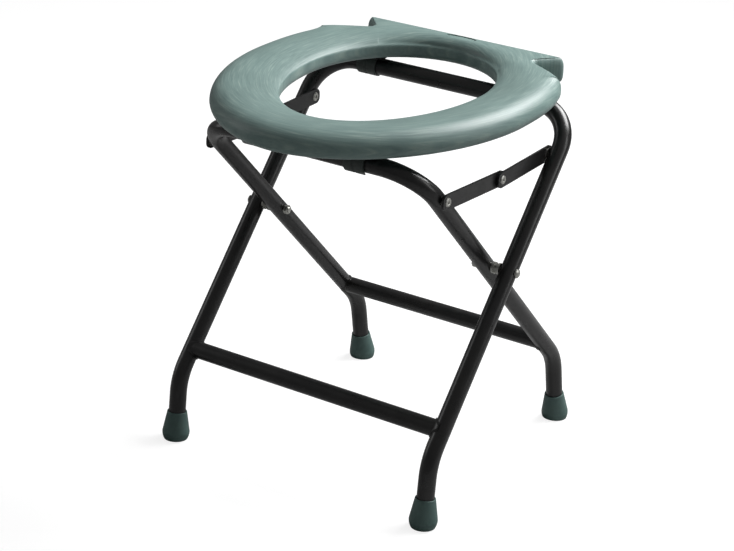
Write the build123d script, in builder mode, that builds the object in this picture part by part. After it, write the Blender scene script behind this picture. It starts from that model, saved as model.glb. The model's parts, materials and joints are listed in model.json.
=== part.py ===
from build123d import *
from math import cos, hypot, radians, sin, tan
import os

os.makedirs("parts", exist_ok=True)

# A folding commode stool. Two U-shaped tube frames cross at a pivot bolt on each side, and
# a blow-moulded ring seat turns on the top bar of one frame and rests on the top bar of the
# other. X runs across the stool, the front is at -Y, and the feet stand on Z = 0.

# ---------------------------------------------------------------- driving dimensions, in mm
tube_od = 19.05
tube_wall = 1.2
frame_half_width = 165.0  # centre plane to a leg's centre line, on the outer frame
leg_gap = 9.55  # clear space between an outer leg and the inner leg beside it

pivot_height = 243.9
outer_lean = 51.45  # degrees from the floor to the outer frame's legs, whose tops lean back
inner_lean = 43.1  # the same for the inner frame, whose tops lean forward
outer_bar_reach = 191.0  # along the leg, from the pivot up to the top bar
inner_bar_reach = 196.3
outer_knee_reach = 218.6  # along the leg, from the pivot down to the knee
inner_knee_reach = 237.1
outer_rail_rise = 35.2  # along the leg, from the knee up to the cross rail
inner_rail_rise = 39.8
bar_bend_radius = 46.0
knee_bend_radius = 60.0
outer_foot_tilt = 3.5  # degrees from upright, below the knee
inner_foot_tilt = 11.9

weld_size = 1.4

tip_height = 32.5
tip_belly_height = 8.5
tip_belly_radius = 15.3
tip_base_radius = 11.8
tip_floor = 7.0  # rubber under the end of the tube
tip_lip = 1.6  # rubber around the tube at the top of the tip

bolt_radius = 3.0
bolt_head_radius = 4.8
bolt_head_height = 3.4
bolt_dome_edge = 0.5  # the dome's fall to its outer ring
bolt_chamfer = 0.6
spacer_radius = 6.4
spacer_waist_radius = 5.2
spacer_rim = 2.6
nut_across_flats = 9.0
nut_height = 4.6
bolt_tail = 1.2

front_link_anchor = 149.0  # along the inner leg, from the pivot to the link's rivet
rear_link_anchor = 137.5  # along the outer leg
brace_knee_y = -7.7  # the rivet between the links, from the pivot
brace_knee_z = 101.2
strap_width = 17.0
strap_thickness = 2.5
strap_corner = 6.5
strap_washer_radius = 6.5
knee_washer = 1.2
rivet_radius = 2.6
rivet_head_radius = 4.9
rivet_head_height = 1.1
rivet_dimple_radius = 1.9
rivet_dimple_depth = 1.6
rivet_tail_radius = 3.6
rivet_tail_height = 1.5
rivet_rim = 1.0  # the slope round a rivet's head

seat_lift = 15.5  # from the plane of the two top bars' centre lines to the seat's underside
seat_thickness = 27.6
seat_half_width = 174.1
seat_centre = -123.0  # along the seat, from the rear bar to the widest point
seat_front_length = 211.5
seat_back_length = 183.4
seat_front_power = 1.9  # the outline's curves are superellipses; 2 is an ellipse
seat_back_power = 2.55
seat_top_round = 15.0
seat_bottom_round = 9.0
hole_half_width = 104.0
hole_centre = -102.5
hole_front_length = 154.0
hole_back_length = 117.8
hole_edge_height = 18.1  # top of the hole's wall above the seat's underside
crest_side_inset = 27.0  # the dished top's high line, in from the seat's outline
crest_front_inset = 27.0
crest_back = 26.0  # the high line's rearmost point, from the rear bar

tab_back = 41.0  # the seat's straight rear edge, from the rear bar
tab_half_width = 124.0
tab_horn_depth = 11.0
tab_corner = 5.0
tab_overlap = 4.0  # the tab reaches into the ring by this much
tab_taper = 4.0  # the horns draw in by this much at the rear edge
tab_top_round = 7.0
tab_drop = 0.6  # the tab's top below the ring's high line
notch_half_width = 104.0  # centre plane to the bottom of each notch
notch_front = 9.0
shoulder_half_width = 143.0  # where a notch's front side meets the ring's outline
shoulder_front = -10.0
recess_half_width = 19.0
recess_half_length = 5.5
recess_depth = 1.0
recess_centre = 30.5

clip_width = 24.0
clip_wall = 1.9
clip_groove = 1.6
clip_groove_depth = 0.5
rear_clip_offset = 100.4  # centre plane to a clip's middle
front_clip_offset = 64.0
clip_mouth_angle = 30.0  # degrees back from straight down, where the front clips open
clip_lip = 5.5  # straight end of a front clip's mouth, past the bar's side
clip_tip_wall = 1.0
clip_neck_width = 13.0
base_overhang = 9.0  # mounting base past each side of its clip
base_width = 19.0
screw_radius = 1.9
screw_head_radius = 3.6
screw_head_height = 1.8
screw_length = 10.0
screw_tip_room = 1.0  # the hole goes this much deeper than the screw

# named clearances
running_gap = 0.3  # between curved or flat faces that pass each other
slip_gap = 0.05  # between flat faces that slide on each other
pin_gap = 0.08  # all around a pin or bar that something turns on
clip_gap = 0.35  # around the front bar in its open clips

# ---------------------------------------------------------------- what follows from them
tube_radius = tube_od / 2
inner_half_width = frame_half_width - tube_od - leg_gap
inner_face = inner_half_width + tube_radius  # the inner leg's outer side
outer_face = frame_half_width - tube_radius  # the outer leg's inner side
across = Vector(1, 0, 0)
lean_back = 1  # legs whose tops lean to the rear
lean_forward = -1

seat_front_reach = seat_front_length - seat_centre  # rear bar to the seat's front edge
outer_bar_y = outer_bar_reach * cos(radians(outer_lean))
inner_foot_drop = pivot_height - inner_knee_reach * sin(radians(inner_lean))
inner_foot_y = inner_knee_reach * cos(radians(inner_lean)) + inner_foot_drop * tan(
    radians(inner_foot_tilt)
)
bar_drop = outer_bar_reach * sin(radians(outer_lean)) - inner_bar_reach * sin(radians(inner_lean))
bar_span = outer_bar_y + inner_bar_reach * cos(radians(inner_lean))
bar_distance = hypot(bar_span, bar_drop)
seat_slope = bar_drop / bar_distance  # sine of the seat's fall to the front
wall_top = seat_lift + seat_thickness - seat_top_round
chair_front = outer_bar_y - seat_front_reach * bar_span / bar_distance - wall_top * seat_slope
chair_back = inner_foot_y + tip_belly_radius - tip_belly_height * sin(radians(inner_foot_tilt))
pivot_y = -(chair_front + chair_back) / 2  # the origin is under the middle of the stool


def leg_point(side_x, lean_sign, lean, reach):
    """A point on a leg's centre line, reach above the pivot along the leg."""
    return Vector(
        side_x,
        pivot_y + lean_sign * reach * cos(radians(lean)),
        pivot_height + reach * sin(radians(lean)),
    )


def foot_up(lean_sign, tilt):
    """The direction of the tube above a foot, which stands away from the other frame."""
    return Vector(0, lean_sign * sin(radians(tilt)), cos(radians(tilt)))


def floor_point(knee, lean_sign, tilt):
    """Where a foot's centre line meets the floor, under a knee."""
    return Vector(knee.X, knee.Y - lean_sign * knee.Z * tan(radians(tilt)), 0)


outer_bar = leg_point(0, lean_back, outer_lean, outer_bar_reach)
inner_bar = leg_point(0, lean_forward, inner_lean, inner_bar_reach)
outer_rail = leg_point(0, lean_back, outer_lean, outer_rail_rise - outer_knee_reach)
inner_rail = leg_point(0, lean_forward, inner_lean, inner_rail_rise - inner_knee_reach)
outer_up = Vector(0, lean_back * cos(radians(outer_lean)), sin(radians(outer_lean)))
inner_up = Vector(0, lean_forward * cos(radians(inner_lean)), sin(radians(inner_lean)))
pivot = Vector(0, pivot_y, pivot_height)
front_anchor = leg_point(0, lean_forward, inner_lean, front_link_anchor)
rear_anchor = leg_point(0, lean_back, outer_lean, rear_link_anchor)
brace_knee = pivot + Vector(0, brace_knee_y, brace_knee_z)

# the brace's layers across the gap, from the inner leg outwards
anchor_washer = (
    leg_gap - running_gap - 2 * slip_gap - 2 * strap_thickness - knee_washer
) / 2
front_link_x = inner_face + running_gap + anchor_washer
knee_washer_x = front_link_x + strap_thickness + slip_gap
rear_link_x = knee_washer_x + knee_washer
rear_washer_x = rear_link_x + strap_thickness + slip_gap

# the seat's own plane passes through both top bars; its local Y runs to the rear
seat_back_direction = (outer_bar - inner_bar).normalized()
seat_up = across.cross(seat_back_direction)
bar_plane = Plane(origin=outer_bar, x_dir=across, z_dir=seat_up)
seat_base = bar_plane.offset(seat_lift)
seat_axis = Axis(outer_bar, seat_up)


def on_bar_plane(x, back, up):
    """A point in the seat's own directions, from the middle of the rear bar."""
    return outer_bar + across * x + seat_back_direction * back + seat_up * up


def side_plane(point, x):
    """The upright plane at x whose local X points to the rear and local Y points up."""
    return Plane(origin=(x, point.Y, point.Z), x_dir=(0, 1, 0), z_dir=(1, 0, 0))


def mirrored_side(side):
    """A name and a sign for the stool's right (+X) or left side."""
    return {1: "right", -1: "left"}[side]


def save(builder, name):
    """Label a finished piece and write it."""
    builder.part.label = name
    export_step(builder.part, f"parts/{name}.step")


# ---------------------------------------------------------------- tube frames
def bent_frame(half_width, lean_sign, lean, bar_reach, knee_reach, tilt):
    """The path of one U-shaped frame, from the left foot up, across and down again."""
    points = []
    for side_x in (-half_width, half_width):
        knee = leg_point(side_x, lean_sign, lean, -knee_reach)
        bottom = floor_point(knee, lean_sign, tilt)
        tube_end = bottom + foot_up(lean_sign, tilt) * tip_floor
        corner = leg_point(side_x, lean_sign, lean, bar_reach)
        leg = [tube_end, knee, corner]
        points += leg if side_x < 0 else leg[::-1]
    return points


def frame_tube(points, bolt_hole, rivet_hole=None):
    """A round tube bent along points, drilled across both legs at the pivot."""
    with BuildPart() as tube:
        with BuildLine() as route:
            bends = [knee_bend_radius, bar_bend_radius, bar_bend_radius, knee_bend_radius]
            FilletPolyline(*points, radius=bends)
        with BuildSketch(Plane(origin=route.line @ 0, z_dir=route.line % 0)):
            Circle(tube_radius)
            Circle(tube_radius - tube_wall, mode=Mode.SUBTRACT)
        sweep()
        with BuildSketch(Plane(origin=pivot, x_dir=(0, 1, 0), z_dir=across)):
            Circle(bolt_hole)
        extrude(amount=2 * frame_half_width, both=True, mode=Mode.SUBTRACT)
        if rivet_hole is not None:
            for side in (-1, 1):
                wall = side_plane(rivet_hole, side * (outer_face - running_gap))
                with BuildSketch(wall):
                    Circle(rivet_radius)
                extrude(amount=side * tube_radius, mode=Mode.SUBTRACT)
    return tube


outer_points = bent_frame(
    frame_half_width, lean_back, outer_lean, outer_bar_reach, outer_knee_reach, outer_foot_tilt
)
inner_points = bent_frame(
    inner_half_width, lean_forward, inner_lean, inner_bar_reach, inner_knee_reach, inner_foot_tilt
)
outer_frame_tube = frame_tube(outer_points, bolt_radius, rear_anchor)
save(outer_frame_tube, "outer_frame_tube")
inner_frame_tube = frame_tube(inner_points, bolt_radius + pin_gap)
save(inner_frame_tube, "inner_frame_tube")


def cross_rail(centre, leg_up, half_width):
    """A straight tube between two legs, its ends coped to sit on them."""
    with BuildPart() as rail:
        with BuildSketch(side_plane(centre, 0)):
            Circle(tube_radius)
            Circle(tube_radius - tube_wall, mode=Mode.SUBTRACT)
        extrude(amount=half_width, both=True)
        for side in (-1, 1):
            leg_line = Plane(origin=centre + across * side * half_width, x_dir=across, z_dir=leg_up)
            with BuildSketch(leg_line):
                Circle(tube_radius)
            extrude(amount=2 * tube_od, both=True, mode=Mode.SUBTRACT)
    return rail


def rail_welds(centre, leg_up, half_width):
    """The weld bead round both ends of a cross rail, in the corner between the two tubes."""
    with BuildPart() as beads:
        for side in (-1, 1):
            joint = centre + across * side * half_width
            with BuildSketch(side_plane(centre, joint.X)):
                Circle(tube_radius + weld_size)
            extrude(amount=-side * (tube_radius + weld_size))
        with BuildPart(mode=Mode.PRIVATE) as legs:
            for side in (-1, 1):
                joint = centre + across * side * half_width
                with BuildSketch(Plane(origin=joint, x_dir=across, z_dir=leg_up)):
                    Circle(tube_radius + weld_size)
                extrude(amount=2 * tube_od, both=True)
        add(legs.part, mode=Mode.INTERSECT)
        with BuildSketch(side_plane(centre, 0)):
            Circle(tube_radius)
        extrude(amount=half_width + tube_od, both=True, mode=Mode.SUBTRACT)
        for side in (-1, 1):
            joint = centre + across * side * half_width
            with BuildSketch(Plane(origin=joint, x_dir=across, z_dir=leg_up)):
                Circle(tube_radius)
            extrude(amount=2 * tube_od, both=True, mode=Mode.SUBTRACT)
    return beads


save(cross_rail(outer_rail, outer_up, frame_half_width), "front_cross_rail")
save(cross_rail(inner_rail, inner_up, inner_half_width), "rear_cross_rail")
save(rail_welds(outer_rail, outer_up, frame_half_width), "front_rail_welds")
save(rail_welds(inner_rail, inner_up, inner_half_width), "rear_rail_welds")


# ---------------------------------------------------------------- rubber tips
def rubber_tip(side_x, lean_sign, lean, knee_reach, tilt):
    """A bell-shaped rubber foot pushed over the tube's end and cut flat on the floor."""
    up = foot_up(lean_sign, tilt)
    bottom = floor_point(leg_point(side_x, lean_sign, lean, -knee_reach), lean_sign, tilt)
    profile_plane = Plane(origin=bottom, x_dir=across, z_dir=across.cross(up))
    toe = tip_base_radius * tan(radians(tilt)) + tip_lip  # rubber that the level sole cuts off
    with BuildPart() as tip:
        with BuildSketch(profile_plane):
            with BuildLine():
                sole = Line((0, -toe), (tip_base_radius, -toe))
                curve = TangentArc(
                    sole @ 1, (tip_belly_radius, tip_belly_height), tangent=(0.75, 1)
                )
                lip_radius = tube_radius + tip_lip
                cone = Line(curve @ 1, (lip_radius, tip_height - tip_lip / 2))
                rim = ThreePointArc(
                    cone @ 1,
                    (lip_radius - tip_lip / 2, tip_height),
                    (tube_radius, tip_height - tip_lip / 2),
                )
                Polyline(rim @ 1, (tube_radius, tip_floor), (0, tip_floor), sole @ 0)
            make_face()
        revolve(axis=Axis(bottom, up))
        split(bisect_by=Plane.XY, keep=Keep.TOP)
    return tip


for side in (-1, 1):
    name = mirrored_side(side)
    front_tip = rubber_tip(
        side * frame_half_width, lean_back, outer_lean, outer_knee_reach, outer_foot_tilt
    )
    save(front_tip, f"front_{name}_rubber_tip")
    rear_tip = rubber_tip(
        side * inner_half_width, lean_forward, inner_lean, inner_knee_reach, inner_foot_tilt
    )
    save(rear_tip, f"rear_{name}_rubber_tip")


# ---------------------------------------------------------------- pivot on each side
def turned(side, point, outline):
    """A solid of revolution about a line along X through point. The outline's points are
    distances from the centre plane and radii."""
    with BuildPart() as piece:
        with BuildSketch(Plane(origin=(0, point.Y, point.Z), x_dir=(1, 0, 0), z_dir=(0, -1, 0))):
            with BuildLine():
                Polyline(*[(side * x, radius) for x, radius in outline], close=True)
            make_face()
        revolve(axis=Axis(point, across))
    return piece


leg_outside = frame_half_width + tube_radius
leg_inside = inner_half_width - tube_radius
nut_face = leg_inside - running_gap
nut_end = nut_face - nut_height
bolt_end = nut_end - bolt_tail

for side in (-1, 1):
    name = mirrored_side(side)
    dome = leg_outside + bolt_head_height
    bolt = turned(
        side,
        pivot,
        [
            (bolt_end, 0),
            (bolt_end, bolt_radius - bolt_chamfer),
            (bolt_end + bolt_chamfer, bolt_radius),
            (leg_outside, bolt_radius),
            (leg_outside, bolt_head_radius),
            (leg_outside + bolt_head_height * 0.45, bolt_head_radius),
            (dome - bolt_dome_edge, bolt_head_radius * 0.62),
            (dome, bolt_head_radius * 0.3),
            (dome, 0),
        ],
    )
    save(bolt, f"{name}_pivot_bolt")

    bore = bolt_radius + slip_gap
    spacer_start = inner_face + running_gap
    spacer = turned(
        side,
        pivot,
        [
            (spacer_start, bore),
            (outer_face, bore),
            (outer_face, spacer_radius),
            (outer_face - spacer_rim, spacer_radius),
            (outer_face - spacer_rim, spacer_waist_radius),
            (spacer_start + spacer_rim, spacer_waist_radius),
            (spacer_start + spacer_rim, spacer_radius),
            (spacer_start, spacer_radius),
        ],
    )
    save(spacer, f"{name}_pivot_spacer")

    with BuildPart() as nut:
        with BuildSketch(side_plane(pivot, side * nut_face)):
            RegularPolygon(nut_across_flats / 2, 6, major_radius=False)
            Circle(bore, mode=Mode.SUBTRACT)
        extrude(amount=-side * nut_height)
    save(nut, f"{name}_pivot_nut")


# ---------------------------------------------------------------- folding brace
def strap(side, near_x, start, end):
    """A flat link with rounded ends and a rivet hole at each end."""
    run = end - start
    middle = (start + end) * 0.5
    face = Plane(
        origin=(side * near_x, middle.Y, middle.Z), x_dir=run.normalized(), z_dir=across
    )
    length = run.length
    with BuildPart() as link:
        with BuildSketch(face):
            RectangleRounded(length + strap_width, strap_width, strap_corner)
            with Locations((-length / 2, 0), (length / 2, 0)):
                Circle(rivet_radius + pin_gap, mode=Mode.SUBTRACT)
        extrude(amount=side * strap_thickness)
    return link


def ring_washer(side, point, near_x, thickness):
    """A plain washer on a rivet."""
    with BuildPart() as washer:
        with BuildSketch(side_plane(point, side * near_x)):
            Circle(strap_washer_radius)
            Circle(rivet_radius + slip_gap, mode=Mode.SUBTRACT)
        extrude(amount=side * thickness)
    return washer


def head_outline(face_x, outward):
    """Points of a low rivet head with a dimple, from its rim to its centre."""
    top = face_x + outward * rivet_head_height
    return [
        (face_x, rivet_head_radius),
        (face_x + outward * rivet_head_height / 2, rivet_head_radius - rivet_rim / 6),
        (top, rivet_head_radius - rivet_rim),
        (top, rivet_dimple_radius),
        (top - outward * rivet_dimple_depth, rivet_dimple_radius * 0.6),
        (top - outward * rivet_dimple_depth, 0),
    ]


knee_head_in = front_link_x
knee_head_out = rear_link_x + strap_thickness
bore_radius = tube_radius - tube_wall
# the tail is set inside the tube, where its rim just meets the curved wall
tail_start = frame_half_width - (bore_radius**2 - rivet_tail_radius**2) ** 0.5
tail_end = tail_start + rivet_tail_height

for side in (-1, 1):
    name = mirrored_side(side)
    save(strap(side, front_link_x, front_anchor, brace_knee), f"{name}_front_link")
    save(strap(side, rear_link_x, brace_knee, rear_anchor), f"{name}_rear_link")

    washer_x = inner_face + running_gap
    save(
        ring_washer(side, front_anchor, washer_x, anchor_washer), f"{name}_front_link_washer"
    )
    save(ring_washer(side, brace_knee, knee_washer_x, knee_washer), f"{name}_knee_washer")
    save(
        ring_washer(side, rear_anchor, rear_washer_x, anchor_washer), f"{name}_rear_link_washer"
    )

    knee_rivet = turned(
        side,
        brace_knee,
        head_outline(knee_head_in, -1)[::-1]
        + [(knee_head_in, rivet_radius), (knee_head_out, rivet_radius)]
        + head_outline(knee_head_out, 1),
    )
    save(knee_rivet, f"{name}_knee_rivet")

    front_head = front_link_x + strap_thickness
    front_rivet = turned(
        side,
        front_anchor,
        [(washer_x, 0), (washer_x, rivet_radius), (front_head, rivet_radius)]
        + head_outline(front_head, 1),
    )
    save(front_rivet, f"{name}_front_link_rivet")

    rear_rivet = turned(
        side,
        rear_anchor,
        head_outline(rear_link_x, -1)[::-1]
        + [
            (rear_link_x, rivet_radius),
            (tail_start, rivet_radius),
            (tail_start, rivet_tail_radius),
            (tail_end, rivet_tail_radius),
            (tail_end, 0),
        ],
    )
    save(rear_rivet, f"{name}_rear_link_rivet")


# ---------------------------------------------------------------- seat
def oval_point(half_width, centre, length, power, angle):
    """A point of a superellipse's right-hand quarter, at an angle from its widest point."""
    reach = 2 / power
    return (
        half_width * max(cos(radians(angle)), 0) ** reach,
        centre + length * sin(radians(angle)) ** reach,
    )


def oval(half_width, centre, front, back, front_power=2.0, back_power=2.0, steps=4):
    """An egg-shaped face, symmetrical about the centre plane."""
    angles = [90 * step / steps for step in range(steps + 1)]
    front_side = [oval_point(half_width, centre, -front, front_power, a) for a in angles[:0:-1]]
    back_side = [oval_point(half_width, centre, back, back_power, a) for a in angles]
    right = front_side + back_side
    left = [(-x, y) for x, y in right]
    with BuildSketch() as face:
        with BuildLine():
            Spline(*(right + left[-2:0:-1]), periodic=True)
        make_face()
    return face.sketch


def mirror_points(points):
    """The points, then their mirror images back to the start."""
    return points + [(-x, y) for x, y in reversed(points)]


seat_outline = oval(
    seat_half_width,
    seat_centre,
    seat_front_length,
    seat_back_length,
    seat_front_power,
    seat_back_power,
)
seat_hole = oval(hole_half_width, hole_centre, hole_front_length, hole_back_length)
base_span = clip_width + 2 * base_overhang
base_bottom = tube_radius + pin_gap + clip_wall
clip_places = [
    ("rear", "right", rear_clip_offset, 0.0),
    ("rear", "left", -rear_clip_offset, 0.0),
    ("front", "right", front_clip_offset, -bar_distance),
    ("front", "left", -front_clip_offset, -bar_distance),
]
screw_places = [
    (x + shift * (base_span - base_overhang) / 2, back)
    for _, _, x, back in clip_places
    for shift in (-1, 1)
]

crest_half_width = seat_half_width - crest_side_inset
crest_front_length = seat_front_length - crest_front_inset + hole_centre - seat_centre
crest_line = oval(crest_half_width, hole_centre, crest_front_length, crest_back - hole_centre)
tab_front = notch_front - tab_overlap

with BuildPart() as seat:
    with BuildSketch(seat_base):
        add(seat_outline)
    extrude(amount=seat_thickness)
    rims = seat.edges().group_by(seat_axis)
    fillet(rims[-1], radius=seat_top_round)
    fillet(seat.edges().group_by(seat_axis)[0], radius=seat_bottom_round)
    # the ring ends in a straight rear edge, with a notch each side of the tab
    with BuildSketch(seat_base):
        with Locations((0, tab_back)):
            Rectangle(
                3 * seat_half_width,
                seat_back_length,
                align=(Align.CENTER, Align.MIN),
            )
        for side in (-1, 1):
            with BuildLine():
                notch_slope = (shoulder_front - notch_front) / (shoulder_half_width - notch_half_width)
                far_front = notch_front + notch_slope * (2 * seat_half_width - notch_half_width)
                Polyline(
                    (side * notch_half_width, notch_front),
                    (side * 2 * seat_half_width, far_front),
                    (side * 2 * seat_half_width, 2 * tab_back),
                    (side * notch_half_width, 2 * tab_back),
                    close=True,
                )
            make_face()
    extrude(amount=seat_thickness, mode=Mode.SUBTRACT)
    # the tab across the rear
    with BuildPart(mode=Mode.PRIVATE) as tab:
        with BuildSketch(seat_base) as tab_sketch:
            right_points = [
                (notch_half_width - tab_overlap, tab_front),
                (notch_half_width, notch_front),
                (tab_half_width, tab_back - tab_horn_depth),
                (tab_half_width - tab_taper, tab_back),
            ]
            with BuildLine():
                Polyline(*mirror_points(right_points), close=True)
            make_face()
            horn = tab_sketch.vertices().sort_by(Axis.Y)[-4:]
            fillet(horn, radius=tab_corner)
        extrude(amount=seat_thickness - tab_drop)
        fillet(tab.edges().group_by(seat_axis)[-1], radius=tab_top_round)
    add(tab.part)
    with BuildSketch(seat_base):
        add(seat_hole)
    extrude(amount=seat_thickness, mode=Mode.SUBTRACT)
    # the top is dished down to the hole
    with BuildSketch(seat_base.offset(hole_edge_height)):
        add(seat_hole)
    with BuildSketch(seat_base.offset(seat_thickness)):
        add(crest_line)
    loft(mode=Mode.SUBTRACT)
    # the bare oval recess at the rear
    with BuildSketch(seat_base.offset(seat_thickness - tab_drop - recess_depth)):
        with Locations((0, recess_centre)):
            Ellipse(recess_half_width, recess_half_length)
    extrude(amount=recess_depth + tab_drop, mode=Mode.SUBTRACT)
    # blind screw holes for the mounting bases
    with BuildSketch(seat_base):
        with Locations(*screw_places):
            Circle(screw_radius)
    extrude(amount=screw_length, mode=Mode.SUBTRACT)
save(seat, "seat")


# ---------------------------------------------------------------- seat clips and their bases
bar_bore = tube_radius + pin_gap
clip_skin = bar_bore + clip_wall


def clip_profile_plane(back, x):
    """The plane of a clip's section, with local Y square to the seat's underside."""
    centre = on_bar_plane(x, back, 0)
    return Plane(origin=centre, x_dir=seat_back_direction, z_dir=across)


def closed_clip(x, back):
    """A ring that turns on the rear bar, with a flat neck up to its base."""
    with BuildPart() as clip:
        with BuildSketch(clip_profile_plane(back, x)):
            Circle(clip_skin)
            with Locations((0, base_bottom / 2)):
                Rectangle(clip_neck_width, base_bottom)
            Circle(bar_bore, mode=Mode.SUBTRACT)
        extrude(amount=clip_width / 2, both=True)
        with BuildSketch(clip_profile_plane(back, x)):
            Circle(2 * clip_skin)
            Circle(clip_skin - clip_groove_depth, mode=Mode.SUBTRACT)
            with Locations((0, base_bottom / 2)):
                Rectangle(clip_neck_width, base_bottom, mode=Mode.SUBTRACT)
        extrude(amount=clip_groove / 2, both=True, mode=Mode.SUBTRACT)
    return clip


def open_clip(x, back):
    """A hook over the front bar, open downwards and to the rear so that it lifts off."""
    mouth = 270 + clip_mouth_angle
    slot_radius = tube_radius + clip_gap
    slot_length = 3 * tube_od
    skin = hypot(slot_radius + clip_tip_wall, clip_lip)
    tip_place = (clip_lip * cos(radians(mouth)), clip_lip * sin(radians(mouth)))
    with BuildPart() as clip:
        with BuildSketch(clip_profile_plane(back, x)):
            Circle(skin)
            with Locations((0, base_bottom / 2)):
                Rectangle(clip_neck_width, base_bottom)
            with Locations((0, base_bottom)):
                Rectangle(4 * skin, skin, align=(Align.CENTER, Align.MIN), mode=Mode.SUBTRACT)
            Circle(slot_radius, mode=Mode.SUBTRACT)
            with Locations(Location((0, 0), mouth)):
                Rectangle(
                    slot_length,
                    2 * slot_radius,
                    align=(Align.MIN, Align.CENTER),
                    mode=Mode.SUBTRACT,
                )
            with Locations(Location(tip_place, mouth)):
                Rectangle(
                    slot_length,
                    slot_length,
                    align=(Align.MIN, Align.CENTER),
                    mode=Mode.SUBTRACT,
                )
        extrude(amount=clip_width / 2, both=True)
        with BuildSketch(clip_profile_plane(back, x)):
            Circle(2 * skin)
            Circle(skin - clip_groove_depth, mode=Mode.SUBTRACT)
            with Locations((0, base_bottom / 2)):
                Rectangle(clip_neck_width, base_bottom, mode=Mode.SUBTRACT)
        extrude(amount=clip_groove / 2, both=True, mode=Mode.SUBTRACT)
    return clip


def clip_base(x, back):
    """The block between a clip and the seat's underside, with a screw hole at each end."""
    inward = -1 if x > 0 else 1
    with BuildPart() as base:
        with BuildSketch(bar_plane.offset(base_bottom)):
            with Locations((x, back)):
                Rectangle(base_span, base_width)
        extrude(amount=seat_lift - base_bottom)
        ends = base.edges().filter_by(lambda edge: abs(edge.tangent_at(0).dot(seat_up)) > 0.9)
        fillet(ends, radius=base_width / 5)
        with BuildSketch(bar_plane.offset(base_bottom)):
            shifts = [shift * (base_span - base_overhang) / 2 for shift in (-1, 1)]
            with Locations(*[(x + shift, back) for shift in shifts]):
                Circle(screw_radius)
        extrude(amount=seat_lift - base_bottom, mode=Mode.SUBTRACT)
    return base


for end, hand, x, back in clip_places:
    if end == "rear":
        save(closed_clip(x, back), f"rear_{hand}_seat_clip")
    else:
        save(open_clip(x, back), f"front_{hand}_seat_clip")
    save(clip_base(x, back), f"{end}_{hand}_clip_base")

with BuildPart() as clip_screws:
    with BuildSketch(bar_plane.offset(base_bottom)):
        with Locations(*screw_places):
            Circle(screw_radius)
    extrude(amount=seat_lift - base_bottom + screw_length - screw_tip_room)
    with BuildSketch(bar_plane.offset(base_bottom)):
        with Locations(*screw_places):
            Circle(screw_head_radius)
    extrude(amount=-screw_head_height, taper=20)
save(clip_screws, "clip_screws")
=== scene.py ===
# %% [markdown]
# # A folding commode stool
# The CAD model gives every piece its place and size, in metres. This lesson dresses it: a
# soft blow-moulded seat is modelled over the plain one, and every tube, strap, rivet and
# rubber tip gets a finish made from nodes.

# %% Load the frame
import bpy
import bmesh
import json
from math import cos, pi, radians, sin, sqrt
from mathutils import Matrix, Quaternion, Vector


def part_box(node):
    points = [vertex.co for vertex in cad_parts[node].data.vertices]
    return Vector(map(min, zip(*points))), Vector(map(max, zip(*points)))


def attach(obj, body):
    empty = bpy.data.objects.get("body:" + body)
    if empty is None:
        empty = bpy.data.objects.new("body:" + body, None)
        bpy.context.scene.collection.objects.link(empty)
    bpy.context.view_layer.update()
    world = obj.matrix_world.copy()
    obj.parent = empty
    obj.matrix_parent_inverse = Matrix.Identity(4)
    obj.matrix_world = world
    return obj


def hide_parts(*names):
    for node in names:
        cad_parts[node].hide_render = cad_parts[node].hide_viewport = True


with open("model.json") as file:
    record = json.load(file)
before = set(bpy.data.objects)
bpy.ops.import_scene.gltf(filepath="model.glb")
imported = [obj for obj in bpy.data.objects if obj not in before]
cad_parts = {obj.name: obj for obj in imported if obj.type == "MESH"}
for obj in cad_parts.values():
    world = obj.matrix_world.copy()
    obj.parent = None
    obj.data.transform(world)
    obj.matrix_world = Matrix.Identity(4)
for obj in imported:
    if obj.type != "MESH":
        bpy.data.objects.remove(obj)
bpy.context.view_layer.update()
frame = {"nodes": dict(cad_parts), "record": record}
nodes = frame["nodes"]
mm = 0.001

# %% [markdown]
# ## Where things are
# The frames turn on one line, and the seat turns on the rear bar. Both places are joints in
# the record. The front bar is found from the highest and foremost edges of its tube.

# %% Find the bars
joint_place = {j["name"]: Vector(j["pos_m"]) for j in frame["record"]["behaviour"]["joints"]}
pivot = joint_place["frame_fold"]
rear_bar = joint_place["seat_flip"]
tube_radius = 9.525 * mm
inner_low, inner_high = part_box("inner_frame_tube")
front_bar = Vector((0, inner_low.y + tube_radius, inner_high.z - tube_radius))
back_along_seat = (rear_bar - front_bar).normalized()
seat_up = Vector((1, 0, 0)).cross(back_along_seat)
hole_centre = -102.5 * mm  # along the seat, from the rear bar
print("bars are", round((rear_bar - front_bar).length / mm, 1), "mm apart")

# %% [markdown]
# ## Camera
# A long lens from the front right, a little above the seat, looks at the middle of the
# stool. The camera leans by three degrees, which tips the picture slightly.

# %% Camera
camera_data = bpy.data.cameras.new("camera")
camera_data.lens = 104.1
camera_data.sensor_width = 36.0
camera_data.clip_start = 0.1
camera_data.clip_end = 60.0
camera = bpy.data.objects.new("camera", camera_data)
bpy.context.scene.collection.objects.link(camera)
azimuth = radians(33.02)
elevation = radians(21.18)
lean = radians(3.12)
aim = Vector((-11.8, pivot.y / mm - 1.0, 193.7)) * mm
back = Vector(
    (sin(azimuth) * cos(elevation), -cos(azimuth) * cos(elevation), sin(elevation))
)
camera.rotation_mode = "QUATERNION"
camera.rotation_quaternion = (-back).to_track_quat("-Z", "Y") @ Quaternion((0, 0, 1), lean)
camera.location = aim + back * 2.343
bpy.context.scene.camera = camera
bpy.context.scene.view_settings.view_transform = "Standard"
print("camera stands", round(camera.location.length, 2), "m away")

# %% [markdown]
# ## Materials
# One short helper starts every finish: a Principled shader, and a helper that adds a node
# and joins its inputs. Patterns read Object coordinates, so they stay on their piece when
# the stool folds.

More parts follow.
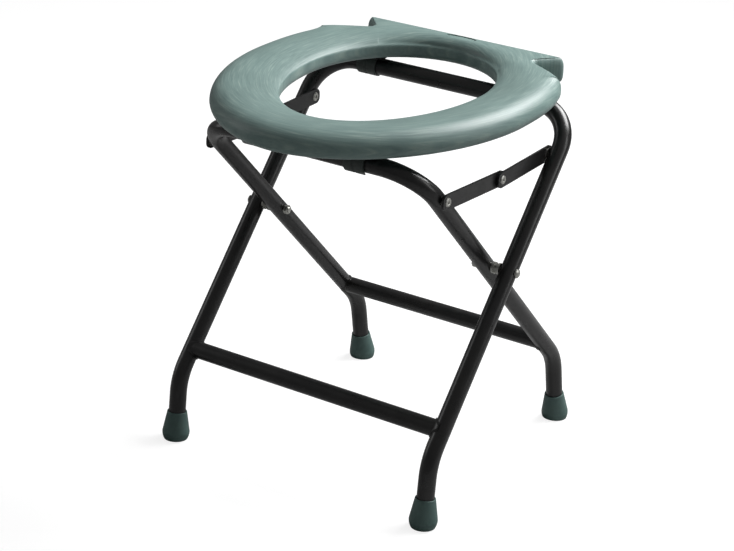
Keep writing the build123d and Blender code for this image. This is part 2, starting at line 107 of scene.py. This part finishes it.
# %% Material helpers
def finish_named(name, colour, roughness, metallic=0.0, specular=0.5):
    """A material, its Principled shader and its node tree."""
    material = bpy.data.materials.new(name)
    material.use_nodes = True
    tree = material.node_tree
    shader = tree.nodes["Principled BSDF"]
    shader.inputs["Base Color"].default_value = (*colour, 1)
    shader.inputs["Roughness"].default_value = roughness
    shader.inputs["Metallic"].default_value = metallic
    shader.inputs["Specular IOR Level"].default_value = specular
    return material, shader, tree


def node(tree, kind, settings=None, **inputs):
    """A new node; an input is a value or another node's output."""
    made = tree.nodes.new(kind)
    for key, value in (settings or {}).items():
        setattr(made, key, value)
    for key, value in inputs.items():
        numbered = key[0] == "i" and key[1:].isdigit()
        socket = made.inputs[int(key[1:]) if numbered else key]
        if isinstance(value, bpy.types.NodeSocket):
            tree.links.new(value, socket)
        else:
            socket.default_value = value
    return made


def object_place(tree):
    """The output that gives a point's place on its piece."""
    return tree.nodes.new("ShaderNodeTexCoord").outputs["Object"]


def noise(tree, vector, scale, detail=4.0, rough=0.5):
    """A noise pattern's value."""
    made = node(
        tree, "ShaderNodeTexNoise", Vector=vector, Scale=scale, Detail=detail, Roughness=rough
    )
    return made.outputs["Fac"]


def ramp(tree, fac, stops):
    """Colours or greys along a value. A stop is a place and a grey or a colour."""
    made = node(tree, "ShaderNodeValToRGB", Fac=fac)
    points = made.color_ramp.elements
    while len(points) < len(stops):
        points.new(0.5)
    for point, (place, value) in zip(points, stops):
        point.position = place
        point.color = (*value, 1) if isinstance(value, tuple) else (value, value, value, 1)
    return made.outputs["Color"]


def bump(tree, shader, height, strength, distance):
    """Relief from a height pattern."""
    made = node(
        tree, "ShaderNodeBump", Height=height, Strength=strength, Distance=distance
    )
    tree.links.new(made.outputs["Normal"], shader.inputs["Normal"])


print("helpers are ready")

# %% [markdown]
# ## Seat plastic
# Blow-moulded plastic keeps a fine brushed grain from its mould, and the grain runs round
# the ring. The place on the seat is turned into a direction and a distance from the middle
# of the hole, so a stretched noise follows the ring with no seam. A second, larger noise
# clouds the colour. The grain also marks the roughness, so it shows in the highlights.

# %% Seat plastic
seat_plastic, shader, tree = finish_named("seat_plastic", (0.2, 0.3, 0.27), 0.42)
place = object_place(tree)
ring_middle = rear_bar + back_along_seat * hole_centre
centred = node(
    tree, "ShaderNodeVectorMath", {"operation": "SUBTRACT"}, i0=place, i1=tuple(ring_middle)
).outputs[0]
flat = node(
    tree, "ShaderNodeVectorMath", {"operation": "MULTIPLY"}, i0=centred, i1=(1.0, 0.8, 0.0)
).outputs[0]
radius = node(tree, "ShaderNodeVectorMath", {"operation": "LENGTH"}, i0=flat).outputs[1]
direction = node(tree, "ShaderNodeVectorMath", {"operation": "NORMALIZE"}, i0=flat).outputs[0]
turned = node(
    tree, "ShaderNodeVectorMath", {"operation": "SCALE"}, i0=direction, Scale=3.2
).outputs[0]
split = node(tree, "ShaderNodeSeparateXYZ", Vector=turned)
stretched = node(
    tree, "ShaderNodeMath", {"operation": "MULTIPLY"}, i0=radius, i1=520.0
).outputs[0]
grain_place = node(
    tree, "ShaderNodeCombineXYZ", X=split.outputs[0], Y=split.outputs[1], Z=stretched
).outputs[0]
grain = noise(tree, grain_place, 1.6, 6.0, 0.62)
clouds = noise(tree, place, 14.0, 4.0, 0.55)
speckle = noise(tree, place, 900.0, 2.0, 0.6)
grain_tone = ramp(
    tree,
    grain,
    [(0.3, (0.15, 0.23, 0.22)), (0.55, (0.21, 0.305, 0.285)), (0.78, (0.34, 0.44, 0.4))],
)
cloud_tone = ramp(tree, clouds, [(0.3, 0.86), (0.7, 1.0)])
seat_colour = node(
    tree,
    "ShaderNodeMix",
    {"data_type": "RGBA", "blend_type": "MULTIPLY"},
    Factor=1.0,
    i6=grain_tone,
    i7=cloud_tone,
)
tree.links.new(seat_colour.outputs[2], shader.inputs["Base Color"])
tree.links.new(ramp(tree, grain, [(0.3, 0.36), (0.75, 0.5)]), shader.inputs["Roughness"])
relief = node(tree, "ShaderNodeMath", {"operation": "MULTIPLY_ADD"}, i0=speckle, i1=0.5, i2=grain)
bump(tree, shader, relief.outputs[0], 0.22, 0.0005)
print("seat plastic has", len(tree.nodes), "nodes")

# %% [markdown]
# ## Black enamel
# The tubes are stove-enamelled: nearly black, half glossy, with the faint orange-peel
# relief of a sprayed coat. A clear coat gives the sharp highlight along a tube. Straps get
# a flatter coat of the same paint.

# %% Black enamel
def enamel(name, roughness, peel):
    """Sprayed black paint on steel."""
    material, shader, tree = finish_named(name, (0.008, 0.008, 0.009), roughness)
    place = object_place(tree)
    clouds = noise(tree, place, 22.0, 5.0, 0.6)
    tone = ramp(tree, clouds, [(0.35, (0.0045, 0.0045, 0.005)), (0.7, (0.0095, 0.009, 0.0085))])
    tree.links.new(tone, shader.inputs["Base Color"])
    rough = ramp(
        tree,
        noise(tree, place, 60.0, 6.0, 0.65),
        [(0.3, roughness - 0.05), (0.75, roughness + 0.1)],
    )
    tree.links.new(rough, shader.inputs["Roughness"])
    shader.inputs["Coat Weight"].default_value = 0.25
    shader.inputs["Coat Roughness"].default_value = 0.2
    bump(tree, shader, noise(tree, place, 420.0, 2.0, 0.5), peel, 0.0003)
    return material


black_enamel = enamel("black_enamel", 0.3, 0.12)
black_strap = enamel("black_strap", 0.45, 0.2)
print("enamels:", black_enamel.name, black_strap.name)

# %% [markdown]
# ## Rubber and small plastics
# The tips are dull green-grey rubber, and the clips and their bases are dark moulded
# plastic with a fine texture. One function makes all three: a slow noise drifts between
# two tones, and a fine noise gives the texture and varies the gloss.

# %% Rubber and plastics
def moulded(name, dark, light, roughness, texture_scale, relief):
    """Rubber or plastic whose colour drifts between two tones."""
    material, shader, tree = finish_named(name, dark, roughness, specular=0.35)
    place = object_place(tree)
    drift = noise(tree, place, 38.0, 5.0, 0.6)
    tree.links.new(ramp(tree, drift, [(0.3, dark), (0.72, light)]), shader.inputs["Base Color"])
    fine = noise(tree, place, texture_scale, 3.0, 0.6)
    rough = ramp(tree, fine, [(0.25, roughness - 0.07), (0.75, roughness + 0.08)])
    tree.links.new(rough, shader.inputs["Roughness"])
    bump(tree, shader, fine, relief, 0.0003)
    return material


tip_rubber = moulded(
    "tip_rubber", (0.062, 0.112, 0.104), (0.095, 0.155, 0.142), 0.5, 700.0, 0.3
)
clip_plastic = moulded(
    "clip_plastic", (0.05, 0.06, 0.056), (0.08, 0.092, 0.086), 0.4, 900.0, 0.2
)
base_plastic = moulded(
    "base_plastic", (0.008, 0.008, 0.008), (0.014, 0.014, 0.013), 0.5, 900.0, 0.2
)
print("moulded finishes:", tip_rubber.name, clip_plastic.name, base_plastic.name)

# %% [markdown]
# ## Zinc-plated steel
# Bolts, rivets and spacers are plated. Turning leaves fine rings round the X axis, so a
# noise that changes fast along X and slowly across it marks the roughness. A second noise
# makes the plating a little cloudy.

# %% Zinc-plated steel
plated_steel, shader, tree = finish_named("plated_steel", (0.55, 0.55, 0.51), 0.32, 0.9)
place = object_place(tree)
lathe = node(tree, "ShaderNodeMapping", Vector=place)
lathe.inputs["Scale"].default_value = (6.0, 0.6, 0.6)
rings = noise(tree, lathe.outputs[0], 480.0, 4.0, 0.6)
cloudy = noise(tree, place, 190.0, 4.0, 0.6)
tone = ramp(tree, cloudy, [(0.3, (0.4, 0.4, 0.37)), (0.7, (0.62, 0.62, 0.58))])
tree.links.new(tone, shader.inputs["Base Color"])
tree.links.new(ramp(tree, rings, [(0.3, 0.24), (0.7, 0.46)]), shader.inputs["Roughness"])
bump(tree, shader, rings, 0.15, 0.0002)
print("steel has", len(tree.nodes), "nodes")

# %% [markdown]
# ## Dressing the CAD pieces
# The record says which slot each node takes its finish from. The materials above have the
# slots' names, so one loop dresses the whole frame.

# %% Dress the CAD nodes
finishes = {
    "seat_plastic": seat_plastic,
    "black_enamel": black_enamel,
    "black_strap": black_strap,
    "tip_rubber": tip_rubber,
    "clip_plastic": clip_plastic,
    "base_plastic": base_plastic,
    "plated_steel": plated_steel,
}
for entry in frame["record"]["subparts"]:
    piece = nodes[entry["node"]]
    piece.data.materials.clear()
    piece.data.materials.append(finishes[entry["material_slot"]])
print("dressed", len(nodes), "nodes")

# %% [markdown]
# ## The seat
# The real seat is blown into a mould, so every edge is soft. It is modelled from a flat
# outline: an egg-shaped oval that ends at two notches and a straight tab. Corners are
# rounded with a vertex bevel while the shape is still flat, and then the outline is
# extruded ring by ring, each ring moved in and up by one step of the section.

# %% The seat's outline
seat_place = Matrix.Translation(rear_bar) @ Matrix(
    (
        (1, 0, 0, 0),
        (0, back_along_seat.y, seat_up.y, 0),
        (0, back_along_seat.z, seat_up.z, 0),
        (0, 0, 0, 1),
    )
)
underside = 15.5 * mm
thickness = 27.6 * mm
hole_size = (103.9, 153.9, 117.7)  # half-width, length to the front and to the rear
crest_size = (150.0, 208.0, 130.0)  # the same for the line where the dish begins


def egg(half_width, centre, front, back, front_power, back_power, turn):
    """A point of an egg-shaped outline, in millimetres, at an angle from its right side."""
    length, power = (back, back_power) if sin(turn) > 0 else (front, front_power)
    x = half_width * abs(cos(turn)) ** (2 / power) * (1 if cos(turn) > 0 else -1)
    y = centre + length * abs(sin(turn)) ** (2 / power) * (1 if sin(turn) > 0 else -1)
    return Vector((x, y, 0))


def seat_edge(turn):
    return egg(173.9, -123.0, 211.3, 183.2, 1.9, 2.55, turn)


sides = 150  # points along the oval part of the outline
shoulder_turn = radians(28.5)
turns = [
    shoulder_turn - (pi + 2 * shoulder_turn) * step / sides for step in range(sides + 1)
]
outline = bmesh.new()
rim = [outline.verts.new(seat_edge(turn) * mm) for turn in turns]
# across, back and how soft, in millimetres: shoulder, notch and horn, left then right
soft_corners = [
    (-151.0, -13.5, 9.0), (-104.0, 9.0, 6.0), (-136.0, 41.0, 17.0),
    (136.0, 41.0, 17.0), (104.0, 9.0, 6.0), (151.0, -13.5, 9.0),
]
corners = [(outline.verts.new(Vector((x, y, 0)) * mm), soft * mm) for x, y, soft in soft_corners]
outline.faces.new(rim + [corner for corner, _ in corners])
for corner, soft in corners:
    bmesh.ops.bevel(
        outline, geom=[corner], offset=soft, offset_type="OFFSET", segments=7, profile=0.5,
        affect="VERTICES", material=-1, clamp_overlap=True,
    )
print("outline has", len(outline.verts), "corners")

# %% [markdown]
# The straight runs of the tab get more points, so that the relief that follows is even.
# Then the outline's points are read in order.

# %% Even out the outline
longest_step = 4.5 * mm
for _ in range(3):
    long_edges = [e for e in outline.edges if e.calc_length() > longest_step]
    bmesh.ops.subdivide_edges(outline, edges=long_edges, cuts=1)
face = outline.faces[:][0]
loop = [v.co.copy() for v in face.verts]
if face.normal.z < 0:
    loop.reverse()
outline.free()
count = len(loop)
inward = []
for i, point in enumerate(loop):
    along = (loop[(i + 1) % count] - loop[i - 1]).normalized()
    inward.append(Vector((-along.y, along.x, 0)))
print("even outline:", count, "points")

# %% [markdown]
# The edge of the ring has a wide soft rounding, but the tab and its notches are tighter,
# as a mould needs. The rounding's width is a value at every point of the outline, and it
# is averaged with its neighbours so that it changes slowly.

# %% How round the edge is
def edge_round(point):
    """The width and the height of the top rounding at a point of the outline."""
    side, behind = abs(point.x) / mm, point.y / mm
    if behind < -22:
        return Vector((21.0, 17.0)) * mm
    if behind < -4:
        return Vector((10.0, 12.0)) * mm
    if side > 110:
        return Vector((6.5, 12.0)) * mm
    return Vector((5.5, 5.5)) * mm


rounds = [edge_round(p) for p in loop]
for _ in range(24):
    means = [(rounds[i - 1] + r + rounds[(i + 1) % count]) / 3 for i, r in enumerate(rounds)]
    rounds = [Vector((min(r.x, m.x), m.y)) for r, m in zip(rounds, means)]
widest = max(r.x for r in rounds)
print("the widest rounding is", round(widest / mm, 1), "mm")


def ellipse_reach(point, half_width, front, back):
    """The distance from the hole's middle to an ellipse through a point's direction."""
    x, y = point.x, point.y - hole_centre
    length = (back if y > 0 else front) * mm
    away = sqrt(x * x + y * y)
    return away / sqrt((x / (half_width * mm)) ** 2 + (y / length) ** 2)


def dish(point):
    """How far the top has fallen towards the hole, from 0 to 1."""
    away = sqrt(point.x**2 + (point.y - hole_centre) ** 2)
    high = ellipse_reach(point, *crest_size)
    low = ellipse_reach(point, *hole_size)
    fall = min(max((high - away) / (high - low), 0), 1)
    return fall * fall * (1.6 - 0.6 * fall)


# %% [markdown]
# Now the ring is drawn up. It starts as one loop of edges on the underside and is extruded
# step by step: round the lower edge, up the side, over the top, down the dish, over the
# hole's lip and down its wall. The last ring is bridged to the first, which closes it.
# Where the outline turns sharply, at the horns and the notches, the inner rings crowd and
# cross a little. A wider plan radius there would cure it.

# %% Extrude the ring
seat_mesh = bmesh.new()
start = [seat_mesh.verts.new(p) for p in loop]
for i in range(count):
    seat_mesh.edges.new((start[i], start[(i + 1) % count]))


def hole_point(i):
    """The point of the hole's edge that faces a point of the outline."""
    p = loop[i]
    away = Vector((p.x, p.y - hole_centre, 0))
    reach = ellipse_reach(p, *hole_size)
    return Vector((0, hole_centre, 0)) + away.normalized() * reach


hole = [hole_point(i) for i in range(count)]
top = thickness
fall_height = 9.5 * mm


def lower_edge(i, step):
    """The section below the side's widest line."""
    wide, high = rounds[i].x * 0.52, 10.0 * mm
    return loop[i] + inward[i] * wide * (1 - sin(step)), high * (1 - cos(step))


def upper_edge(i, step):
    """The section from the side's widest line up to the top."""
    wide, high = rounds[i]
    place = loop[i] + inward[i] * wide * (1 - cos(step))
    return place, top - high + high * sin(step) - fall_height * dish(place)


def on_top(i, share):
    """The section across the dished top, from the rounding to the hole."""
    outer, _ = upper_edge(i, pi / 2)
    place = outer.lerp(hole[i], share)
    return place, top - fall_height * dish(place)


def at_hole(i, out, drop):
    """The section over the hole's lip and down its wall."""
    away = (hole[i] - Vector((0, hole_centre, 0))).normalized()
    return hole[i] + away * out * mm, top - fall_height - drop * mm


section = [lambda i, s=s: lower_edge(i, s * pi / 10) for s in range(6)]
section += [lambda i, s=s: upper_edge(i, s * pi / 14) for s in range(8)]
section += [lambda i, s=s: on_top(i, s) for s in (0.12, 0.26, 0.42, 0.58, 0.74, 0.88)]
lip = [(3.2, 0.15), (1.4, 0.9), (0.35, 2.2), (0.0, 4.0), (0.0, 8.0), (0.2, 11.5), (1.2, 14.4)]
lip += [(3.2, 16.8), (6.0, 18.0)]
section += [lambda i, o=o, d=d: at_hole(i, o, d) for o, d in lip]

ring = start
edges = seat_mesh.edges[:]
for number, place_of in enumerate(section):
    if number:
        grown = bmesh.ops.extrude_edge_only(seat_mesh, edges=edges)["geom"]
        fresh = {g for g in grown if isinstance(g, bmesh.types.BMVert)}
        edges = [
            g for g in grown if isinstance(g, bmesh.types.BMEdge) and set(g.verts) <= fresh
        ]
        ring = [
            next(e.other_vert(v) for e in v.link_edges if e.other_vert(v) in fresh) for v in ring
        ]
    for i, v in enumerate(ring):
        spot, height = place_of(i)
        v.co = Vector((spot.x, spot.y, underside + height))
first_ring = set(start)
first_edges = [
    e for e in seat_mesh.edges if e.is_boundary and set(e.verts) <= first_ring
]
bmesh.ops.bridge_loops(seat_mesh, edges=first_edges + edges)
bmesh.ops.transform(seat_mesh, matrix=seat_place, verts=seat_mesh.verts)
bmesh.ops.recalc_face_normals(seat_mesh, faces=seat_mesh.faces)
print("seat ring has", len(seat_mesh.faces), "faces")

# %% Make the seat a piece
def piece_from(mesh, name, finish, body, smooth=True):
    """A new object from a bmesh, dressed and riding on a body."""
    data = bpy.data.meshes.new(name)
    mesh.to_mesh(data)
    mesh.free()
    data.materials.append(finish)
    for polygon in data.polygons:
        polygon.use_smooth = smooth
    made = bpy.data.objects.new(name, data)
    bpy.context.scene.collection.objects.link(made)
    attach(made, body)
    return made


moulded_seat = piece_from(seat_mesh, "moulded_seat", seat_plastic, "seat")
rounding = moulded_seat.modifiers.new("rounding", "SUBSURF")
rounding.levels = 1
rounding.render_levels = 1
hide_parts("seat")
print("seat is ready")

# %% [markdown]
# A shallow bare oval is pressed into the tab. Its rear edge is crisp and its front edge runs
# out, so the tool that cuts it is tipped a little. The cut is a Boolean, and the result is
# kept as plain mesh, so that the tool can go.

# %% Press the oval into the tab
tool_mesh = bmesh.new()
made = bmesh.ops.create_circle(tool_mesh, cap_ends=True, segments=64, radius=1.0)["verts"]
bmesh.ops.scale(tool_mesh, verts=made, vec=(19.0 * mm, 5.6 * mm, 1.0))
grown = bmesh.ops.extrude_face_region(tool_mesh, geom=tool_mesh.faces[:])["geom"]
upper = [g for g in grown if isinstance(g, bmesh.types.BMVert)]
bmesh.ops.translate(tool_mesh, verts=upper, vec=(0, 0, 8.0 * mm))
bmesh.ops.scale(tool_mesh, verts=upper, vec=(1.1, 1.3, 1.0))
tip_down = Matrix.Rotation(radians(5.5), 4, "X")
sunk = Matrix.Translation((0, 30.5 * mm, underside + thickness - 0.75 * mm))
tool_place = seat_place @ sunk @ tip_down.inverted()
bmesh.ops.transform(tool_mesh, matrix=tool_place, verts=tool_mesh.verts)
bmesh.ops.recalc_face_normals(tool_mesh, faces=tool_mesh.faces)
tool_data = bpy.data.meshes.new("oval_tool")
tool_mesh.to_mesh(tool_data)
tool_mesh.free()
tool = bpy.data.objects.new("oval_tool", tool_data)
bpy.context.scene.collection.objects.link(tool)
press = moulded_seat.modifiers.new("press", "BOOLEAN")
press.object = tool
press.operation = "DIFFERENCE"
press.solver = "EXACT"
bpy.context.view_layer.update()
view_layer = bpy.context.evaluated_depsgraph_get()
pressed = bpy.data.meshes.new_from_object(moulded_seat.evaluated_get(view_layer))
moulded_seat.modifiers.clear()
moulded_seat.data = pressed
pressed.materials.clear()
pressed.materials.append(seat_plastic)
bpy.data.objects.remove(tool)
pressed.set_sharp_from_angle(angle=radians(40))
print("pressed seat has", len(pressed.polygons), "faces")

# %% [markdown]
# ## Studio
# The stool stands on a pale floor in soft light. A broad lamp above and behind draws a
# bright line along every tube and lights the seat's top, and a weaker one on each side
# opens the shadows. The sky is white to the camera and through clear things, but gives
# little light, so that black paint stays black. The floor glows only for the camera, which
# makes it white in the picture and keeps the stool's shadow on it.

# %% Floor
floor_mesh = bmesh.new()
bmesh.ops.create_grid(floor_mesh, x_segments=1, y_segments=1, size=6.0)
bmesh.ops.translate(floor_mesh, verts=floor_mesh.verts, vec=(0, 0, -0.0006))
floor_data = bpy.data.meshes.new("floor")
floor_mesh.to_mesh(floor_data)
floor_mesh.free()
floor = bpy.data.objects.new("floor", floor_data)
bpy.context.scene.collection.objects.link(floor)
floor_finish, shader, tree = finish_named("floor", (0.32, 0.32, 0.32), 0.9, specular=0.1)
light_path = tree.nodes.new("ShaderNodeLightPath")
lift = node(
    tree,
    "ShaderNodeMath",
    {"operation": "MULTIPLY"},
    i0=light_path.outputs["Is Camera Ray"],
    i1=0.82,
)
shader.inputs["Emission Color"].default_value = (1, 1, 1, 1)
tree.links.new(lift.outputs[0], shader.inputs["Emission Strength"])
floor_data.materials.append(floor_finish)

world = bpy.data.worlds.new("world")
bpy.context.scene.world = world
world.use_nodes = True
sky = world.node_tree
sky_path = sky.nodes.new("ShaderNodeLightPath")
seen = node(
    sky, "ShaderNodeMath", {"operation": "MAXIMUM"},
    i0=sky_path.outputs["Is Camera Ray"], i1=sky_path.outputs["Is Transmission Ray"],
)
level = node(sky, "ShaderNodeMapRange", Value=seen.outputs[0])
level.inputs["To Min"].default_value = 0.16
level.inputs["To Max"].default_value = 1.0
sky.nodes["Background"].inputs["Color"].default_value = (1, 1, 1, 1)
sky.links.new(level.outputs[0], sky.nodes["Background"].inputs["Strength"])
print("floor and sky are ready")

# %% Lamps
def softbox(name, place, target, size, power):
    """A square area lamp that faces a point."""
    lamp = bpy.data.lights.new(name, "AREA")
    lamp.shape = "RECTANGLE"
    lamp.size, lamp.size_y = size
    lamp.energy = power
    made = bpy.data.objects.new(name, lamp)
    made.location = place
    made.rotation_mode = "QUATERNION"
    made.rotation_quaternion = (Vector(target) - Vector(place)).to_track_quat("-Z", "Y")
    bpy.context.scene.collection.objects.link(made)
    return made


softbox("top_lamp", (0.55, 1.15, 1.75), (0, 0, 0.3), (1.3, 1.1), 60.0)
softbox("left_lamp", (-2.0, -0.8, 1.0), (0, 0, 0.2), (0.6, 1.4), 4.0)
softbox("right_lamp", (2.0, 0.6, 1.1), (0, 0, 0.3), (0.5, 1.4), 6.0)
print("three lamps")
